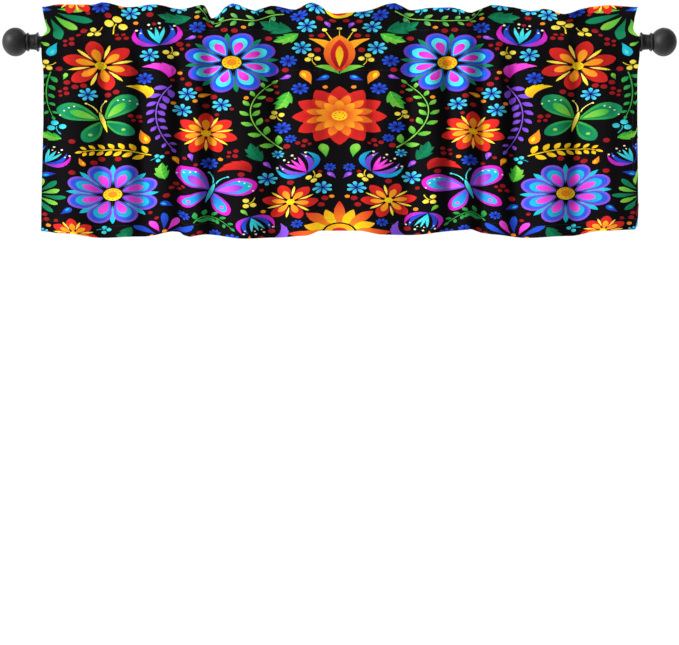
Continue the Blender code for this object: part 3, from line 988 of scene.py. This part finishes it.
def add_bake_map(cloth):
    """A map with the printed face in its upper part and the reverse in its lower one."""
    mesh = cloth.data
    values = flat_corners(mesh)
    low, high = values.min(0), values.max(0)
    square = BAKE_RIM + (1 - 2 * BAKE_RIM) * (values - low) / (high - low)
    inner = read(mesh.loops, "vertex_index") >= len(mesh.vertices) // 2
    starts, totals = (read(mesh.polygons, attribute) for attribute in ("loop_start", "loop_total"))
    reverse = np.repeat(np.logical_and.reduceat(inner, starts), totals)
    square[:, 1] = np.where(
        reverse,
        square[:, 1] * (1 - FRONT_SHARE - BAKE_GAP),
        1 - FRONT_SHARE + square[:, 1] * FRONT_SHARE,
    )
    layer = mesh.uv_layers.new(name=BAKE_MAP)
    layer.data.foreach_set("uv", square.astype(np.float32).ravel())


# The sewing thread
STITCH_LENGTH = 0.0026
STITCH_PITCH = 0.0034
STITCH_WIDTH = 0.00055
STITCH_HEIGHT = 0.00028
STITCH_REACH = 0.003
STITCH_SPAN = 0.6
SUNK_TIP = 0.0001
SUNK_SIDE = 0.00005
SUNK_BASE = 0.00015
SEAM_START = 0.002
PROBE = 0.0008
HEM_SEAM = 0.0025
SIDE_SEAM = 0.0020


def stitch_row(hung, start, end, sunk):
    """Stitches along a straight line of the flat cloth: the middle, direction and outward normal of each."""
    start, end = np.array(start), np.array(end)
    count = int(np.hypot(*(end - start)) / STITCH_PITCH)
    share = (np.arange(count) + 0.5) / count
    places = start + np.outer(share, end - start)
    along = (end - start) / np.hypot(*(end - start))
    across = np.array((-along[1], along[0]))
    middle = hung.place(*places.T)
    ahead = hung.place(*(places + along * PROBE).T) - hung.place(*(places - along * PROBE).T)
    beside = hung.place(*(places + across * PROBE).T) - hung.place(*(places - across * PROBE).T)
    ahead /= np.linalg.norm(ahead, axis=1)[:, None]
    normal = np.cross(ahead, beside)
    normal /= np.linalg.norm(normal, axis=1)[:, None]
    if sunk:
        middle = middle - normal * sunk
        normal = -normal
    return middle, ahead, normal


def stitch_rows(hung):
    ends = (LEFT_END_X + SEAM_START, RIGHT_END_X - SEAM_START)
    rows = []
    for seam in (HEADER_STITCH_Z, POCKET_STITCH_Z):
        for height in (seam, behind(seam)):
            rows.append(stitch_row(hung, (ends[0], height), (ends[1], height), 0))
    hem = FLAT_HEM_Z + HEM_WIDTH - HEM_SEAM
    rows += [stitch_row(hung, (ends[0], hem), (ends[1], hem), sunk) for sunk in (0, HEM_CLOTH)]
    for end, way in ((LEFT_END_X, 1), (RIGHT_END_X, -1)):
        place = end + way * (SIDE_HEM_WIDTH - SIDE_SEAM)
        low, high = FLAT_HEM_Z + SEAM_START, POCKET_STITCH_Z - 2 * SEAM_START
        rows += [stitch_row(hung, (place, low), (place, high), sunk) for sunk in (0, HEM_CLOTH)]
    return rows


def build_stitches(hung, cloth, finish):
    """All stitches as one mesh: each is a small lens of thread that dips into the cloth at its ends."""
    sewn = cloth.data
    corners, sides = [corner.co for corner in sewn.vertices], [face.vertices for face in sewn.polygons]
    tree = BVHTree.FromPolygons(corners, sides)
    points, faces = [], []
    for middle, ahead, normal in stitch_rows(hung):
        side = np.cross(normal, ahead)
        for place, along, out, across in zip(middle, ahead, normal, side):
            start = Vector(place + out * STITCH_REACH)
            found = tree.ray_cast(start, Vector(-out), 2 * STITCH_REACH)[0]
            place = place if found is None else np.array(found)
            first = len(points)
            half = along * STITCH_LENGTH / 2
            points += [place - half - out * SUNK_TIP, place + half - out * SUNK_TIP]
            for part in (-STITCH_SPAN, STITCH_SPAN):
                centre = place + part * half
                points.append(centre + across * STITCH_WIDTH / 2 - out * SUNK_SIDE)
                points.append(centre + out * STITCH_HEIGHT)
                points.append(centre - across * STITCH_WIDTH / 2 - out * SUNK_SIDE)
                points.append(centre - out * SUNK_BASE)
            for corner in range(4):
                beyond = (corner + 1) % 4
                near, far = first + 2 + corner, first + 2 + beyond
                faces.append((near, far, far + 4, near + 4))
                faces.append((first, far, near))
                faces.append((first + 1, near + 4, far + 4))
    mesh = bpy.data.meshes.new("seam_stitches")
    mesh.from_pydata([tuple(point) for point in points], [], faces)
    mesh.materials.append(finish)
    mesh.shade_smooth()
    mesh.update()
    turned = bmesh.new()
    turned.from_mesh(mesh)
    bmesh.ops.recalc_face_normals(turned, faces=turned.faces)
    turned.to_mesh(mesh)
    turned.free()
    return link(bpy.data.objects.new("seam_stitches", mesh))


# One finial along its own axis, from the mouth of its socket outwards. The flange and the ring are each a
# radius and a thickness.
TURNING_STEPS = 96
AXIS_WELD = 0.00001
TURNED_SHARP = math.radians(55)
FLANGE = (0.0195, 0.0036)
NECK_RADIUS = 0.0142
NECK_RIDGE = 0.0014
NECK_FLARE = 0.0018
NECK_RIDGES = 6
RING = (0.0186, 0.0043)
DISC_ROUNDING = 0.0012
BALL_RADIUS = 0.0290
BALL_HALF_LENGTH = 0.0266
BALL_CENTRE = 0.0472
BALL_STEPS = 40
RIDGE_STEPS = 8
RIDGE_FULLNESS = 0.8
RIM_STEPS = 4


def rounded_disc(near, far, root, radius):
    """The rim of a disc with round edges, from its outer face down to its inner one."""
    points = [(root, far)]
    for centre, first in ((far - DISC_ROUNDING, 90), (near + DISC_ROUNDING, 0)):
        for step in range(RIM_STEPS + 1):
            angle = math.radians(first - 90 * step / RIM_STEPS)
            across = radius - DISC_ROUNDING + DISC_ROUNDING * math.cos(angle)
            points.append((across, centre + DISC_ROUNDING * math.sin(angle)))
    return points


def finial_profile():
    """Radius and height pairs from the ball's tip down the outside to the mouth, and up the socket."""
    ring_near = SOCKET_DEPTH
    ring_far = ring_near + RING[1]
    ball_end = math.acos((ring_far + FIT_GAP - BALL_CENTRE) / BALL_HALF_LENGTH)
    points = []
    for step in range(BALL_STEPS + 1):
        angle = ball_end * step / BALL_STEPS
        points.append((BALL_RADIUS * math.sin(angle), BALL_CENTRE + BALL_HALF_LENGTH * math.cos(angle)))
    points += rounded_disc(ring_near, ring_far, points[-1][0], RING[0])
    length = ring_near - FLANGE[1]
    for step in range(NECK_RIDGES * RIDGE_STEPS + 1):
        share = step / (NECK_RIDGES * RIDGE_STEPS)
        ridge = abs(math.sin(math.pi * NECK_RIDGES * share)) ** RIDGE_FULLNESS
        flare = NECK_FLARE * share**3
        points.append((NECK_RADIUS + flare + NECK_RIDGE * ridge, ring_near - length * share))
    points += rounded_disc(0, FLANGE[1], NECK_RADIUS + NECK_FLARE, FLANGE[0])[1:]
    bore = ROD_RADIUS + FIT_GAP
    return points + [(bore, 0), (bore, SOCKET_DEPTH - FIT_GAP), (0, SOCKET_DEPTH - FIT_GAP)]


def turned_piece(name, profile, finish):
    """A profile turned about the Z axis."""
    shape = bmesh.new()
    corners = [shape.verts.new((radius, 0, height)) for radius, height in profile]
    for near, far in zip(corners, corners[1:]):
        shape.edges.new((near, far))
    mesh = bpy.data.meshes.new(name)
    shape.to_mesh(mesh)
    shape.free()
    mesh.materials.append(finish)
    piece = link(bpy.data.objects.new(name, mesh))
    turning = piece.modifiers.new("Turning", "SCREW")
    turning.axis = "Z"
    turning.steps = TURNING_STEPS
    turning.render_steps = TURNING_STEPS
    turning.use_merge_vertices = True
    turning.merge_threshold = AXIS_WELD
    turning.use_smooth_shade = True
    select_only(piece)
    bpy.ops.object.modifier_apply(modifier=turning.name)
    piece.data.set_sharp_from_angle(angle=TURNED_SHARP)
    return piece


def build_finials(finish):
    pieces = []
    for node, way in (("finial_left", -1), ("finial_right", 1)):
        piece = turned_piece("turned_" + node, finial_profile(), finish)
        piece.location.x = way * FINIAL_MOUTH_X
        piece.rotation_euler.y = way * math.pi / 2
        pieces.append(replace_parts(piece, node))
    return pieces


def build_rod(finish):
    """The rod, as a tube with rounded rims."""
    half = FINIAL_MOUTH_X + SOCKET_DEPTH - 2 * FIT_GAP
    inner = ROD_RADIUS - ROD_WALL
    end = half - ROD_MOUTH_DEPTH
    profile = [(0, end), (inner, end), (inner, half)]
    for step in range(ROD_RIM_STEPS + 1):
        angle = math.radians(90 - 90 * step / ROD_RIM_STEPS)
        across = ROD_RADIUS - ROD_ROUNDING + ROD_ROUNDING * math.cos(angle)
        profile.append((across, half - ROD_ROUNDING + ROD_ROUNDING * math.sin(angle)))
    rim = profile[::-1]
    straight = half - ROD_ROUNDING
    profile += [(ROD_RADIUS, straight * (1 - 2 * step / ROD_PARTS)) for step in range(1, ROD_PARTS)]
    profile += [(radius, -height) for radius, height in rim]
    piece = turned_piece("round_rod", profile, finish)
    piece.rotation_euler.y = math.pi / 2
    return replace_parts(piece, "rod")


SHEEN = "Specular IOR Level"
CLOTH_SHEEN = 0.03
LACQUER_SHEEN = 0.24
REVERSE_GREY = (0.20, 0.20, 0.215)
THREAD_BLACK = (0.016, 0.014, 0.017)
LACQUER_BLACK = (0.012, 0.012, 0.0125)


def new_material(name):
    made = bpy.data.materials.new(name)
    made.use_nodes = True
    return made, made.node_tree, made.node_tree.nodes["Principled BSDF"]


def feed(tree, made, sockets):
    """Set sockets of a node to values, or link them to outputs."""
    for socket, value in sockets.items():
        if isinstance(value, bpy.types.NodeSocket):
            tree.links.new(value, made.inputs[socket])
        else:
            made.inputs[socket].default_value = value


def node(tree, kind, sockets=None, **settings):
    """A new node with its settings and sockets."""
    made = tree.nodes.new(kind)
    for name, value in settings.items():
        setattr(made, name, value)
    feed(tree, made, sockets or {})
    return made


def scaled(tree, vector, scale):
    stretched = node(tree, "ShaderNodeVectorMath", {0: vector, 1: scale}, operation="MULTIPLY")
    return stretched.outputs["Vector"]


def noise(tree, vector, scale, detail=2.0):
    sockets = {"Vector": vector, "Scale": scale, "Detail": detail}
    return node(tree, "ShaderNodeTexNoise", sockets).outputs["Fac"]


def ranged(tree, value, low, high, source=(0.3, 0.7)):
    sockets = {"Value": value, "From Min": source[0], "From Max": source[1], "To Min": low, "To Max": high}
    return node(tree, "ShaderNodeMapRange", sockets).outputs["Result"]


def mixed(tree, share, first, second, kind="MIX"):
    sockets = {0: share, 6: first, 7: second}
    return node(tree, "ShaderNodeMix", sockets, data_type="RGBA", blend_type=kind).outputs[2]


def bumped(tree, height, strength, distance):
    sockets = {"Height": height, "Strength": strength, "Distance": distance}
    return node(tree, "ShaderNodeBump", sockets).outputs["Normal"]


def thread_relief(tree):
    """The fine plain weave of the cloth, as uneven threads both ways."""
    flat = node(tree, "ShaderNodeUVMap", uv_map=FLAT_MAP).outputs["UV"]
    warp = noise(tree, scaled(tree, flat, (1500, 110, 0)), 1.0, 1.0)
    weft = noise(tree, scaled(tree, flat, (110, 1500, 0)), 1.0, 1.0)
    both = node(tree, "ShaderNodeMath", {0: warp, 1: weft}, operation="ADD").outputs["Value"]
    return flat, both


def cloth_material(name, faded):
    made, tree, shader = new_material(name)
    flat, threads = thread_relief(tree)
    colour = node(tree, "ShaderNodeAttribute", attribute_name=PRINT_COLOUR).outputs["Color"]
    blotches = ranged(tree, noise(tree, scaled(tree, flat, (9, 9, 0)), 1.0, 3.0), 0.90, 1.06)
    grain = ranged(tree, threads, 0.88, 1.10, (0.7, 1.3))
    shade = node(tree, "ShaderNodeMath", {0: blotches, 1: grain}, operation="MULTIPLY").outputs["Value"]
    if faded:
        patches = ranged(tree, noise(tree, scaled(tree, flat, (60, 60, 0)), 1.0, 3.0), 0.50, 0.66)
        colour = mixed(tree, patches, colour, (*REVERSE_GREY, 1))
    colour = mixed(tree, 1.0, colour, shade, "MULTIPLY")
    rough = ranged(tree, threads, 0.74, 0.88, (0.7, 1.3))
    relief = bumped(tree, threads, 0.30, 0.0003)
    feed(tree, shader, {"Base Color": colour, "Roughness": rough, "Normal": relief, SHEEN: CLOTH_SHEEN})
    return made


def thread_material():
    made, tree, shader = new_material("black_thread")
    place = node(tree, "ShaderNodeTexCoord").outputs["Object"]
    speckle = ranged(tree, noise(tree, place, 2500.0), 0.6, 1.5)
    colour = mixed(tree, 1.0, (*THREAD_BLACK, 1), speckle, "MULTIPLY")
    feed(tree, shader, {"Base Color": colour, "Roughness": ranged(tree, speckle, 0.5, 0.62, (0.6, 1.5))})
    return made


def lacquer_material(name, low, high):
    """Satin black lacquer: soft mottling, fine orange peel and a little wear."""
    made, tree, shader = new_material(name)
    place = node(tree, "ShaderNodeTexCoord").outputs["Object"]
    mottle = noise(tree, place, 140.0, 4.0)
    wear = ranged(tree, mottle, 0.85, 1.25)
    colour = mixed(tree, 1.0, (*LACQUER_BLACK, 1), wear, "MULTIPLY")
    rough = ranged(tree, mottle, low, high)
    relief = bumped(tree, noise(tree, place, 900.0, 2.0), 0.12, 0.0002)
    feed(tree, shader, {"Base Color": colour, "Roughness": rough, "Normal": relief, SHEEN: LACQUER_SHEEN})
    return made


# The camera looks level along +Y, at the photo's angle
PHOTO_WIDTH = 679
PIXEL = 0.00202
ROD_ROW = 42
MIDDLE_ROW = 322.5
CAMERA_DISTANCE = 4.5
SENSOR = 36.0
FLOOR_Z = -1.25
FLOOR_RADIUS = 40.0
FLOOR_BEHIND = (0.90, 0.90, 0.91)
FLOOR_BEFORE = (0.30, 0.30, 0.31)
FLOOR_GLOW = 0.60
FLOOR_FADE = (-1.2, 0.1)


def build_camera():
    data = bpy.data.cameras.new("camera")
    data.sensor_fit = "HORIZONTAL"
    data.sensor_width = SENSOR
    data.lens = SENSOR * CAMERA_DISTANCE / (PHOTO_WIDTH * PIXEL)
    camera = link(bpy.data.objects.new("camera", data))
    camera.location = (0, -CAMERA_DISTANCE, -(MIDDLE_ROW - ROD_ROW) * PIXEL)
    camera.rotation_euler = (math.pi / 2, 0, 0)
    bpy.context.scene.camera = camera


def seen_or(tree, share):
    """A share that is full wherever the stage itself is looked at."""
    seen = node(tree, "ShaderNodeLightPath").outputs["Is Camera Ray"]
    return node(tree, "ShaderNodeMath", {0: share, 1: seen}, operation="MAXIMUM").outputs["Value"]


def floor_material():
    """Pale to look at from every side. In front of the object it throws back little light."""
    made, tree, shader = new_material("pale_floor")
    place = node(tree, "ShaderNodeTexCoord").outputs["Object"]
    tone = ranged(tree, noise(tree, place, 0.7, 2.0), 0.985, 1.0)
    depth = node(tree, "ShaderNodeSeparateXYZ", {"Vector": place}).outputs["Y"]
    pale = seen_or(tree, ranged(tree, depth, 0.0, 1.0, FLOOR_FADE))
    colour = mixed(tree, pale, (*FLOOR_BEFORE, 1), (*FLOOR_BEHIND, 1))
    colour = mixed(tree, 1.0, colour, tone, "MULTIPLY")
    glow = ranged(tree, pale, 0.0, FLOOR_GLOW, (0.0, 1.0))
    feed(tree, shader, {"Base Color": colour, "Roughness": 0.9})
    feed(tree, shader, {"Emission Color": colour, "Emission Strength": glow})
    return made


def build_stage():
    """A wide pale floor."""
    shape = bmesh.new()
    bmesh.ops.create_circle(shape, cap_ends=True, segments=96, radius=FLOOR_RADIUS)
    mesh = bpy.data.meshes.new("floor")
    shape.to_mesh(mesh)
    shape.free()
    mesh.materials.append(floor_material())
    floor = link(bpy.data.objects.new("floor", mesh))
    floor.location.z = FLOOR_Z


LightRow = namedtuple("LightRow", "name x y z size watts")
LIGHTS = (
    LightRow("key", -8.8, -5.4, 3.4, 3.0, 2160),
    LightRow("fill", 3.4, -3.6, 0.6, 2.0, 10),
    LightRow("top", -0.2, -2.2, 3.0, 1.6, 44),
    LightRow("rear", 0.8, 2.8, 1.2, 2.0, 40),
)
LIGHT_AIM = Vector((0, 0, -0.2))
WORLD_BEHIND = (1.02, 1.02, 1.02, 1)
WORLD_BEFORE = (0.08, 0.08, 0.085, 1)
WORLD_FADE = (-0.6, 0.6)


def build_lights():
    for row in LIGHTS:
        data = bpy.data.lights.new(row.name, "AREA")
        data.shape = "SQUARE"
        data.size = row.size
        data.energy = row.watts
        lamp = link(bpy.data.objects.new(row.name, data))
        lamp.location = (row.x, row.y, row.z)
        lamp.rotation_euler = (LIGHT_AIM - lamp.location).to_track_quat("-Z", "Y").to_euler()
    world = bpy.data.worlds.new("soft_room")
    world.use_nodes = True
    tree = world.node_tree
    place = node(tree, "ShaderNodeTexCoord").outputs["Generated"]
    depth = node(tree, "ShaderNodeSeparateXYZ", {"Vector": place}).outputs["Y"]
    share = seen_or(tree, ranged(tree, depth, 0.0, 1.0, WORLD_FADE))
    room = mixed(tree, share, WORLD_BEFORE, WORLD_BEHIND)
    tree.links.new(room, tree.nodes["Background"].inputs["Color"])
    bpy.context.scene.world = world
    bpy.context.scene.view_settings.view_transform = "Standard"


def main():
    build_camera()
    build_stage()
    build_lights()
    hung = Hanging(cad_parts["valance"])
    cloth = build_cloth(hung, cloth_material("printed_face", False), cloth_material("printed_reverse", True))
    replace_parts(cloth, "valance")
    stitches = build_stitches(hung, cloth, thread_material())
    rod = build_rod(lacquer_material("rod_lacquer", 0.30, 0.40))
    finials = build_finials(lacquer_material("finial_lacquer", 0.46, 0.60))
    for piece in (cloth, stitches, rod, *finials):
        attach(piece, "root")


main()
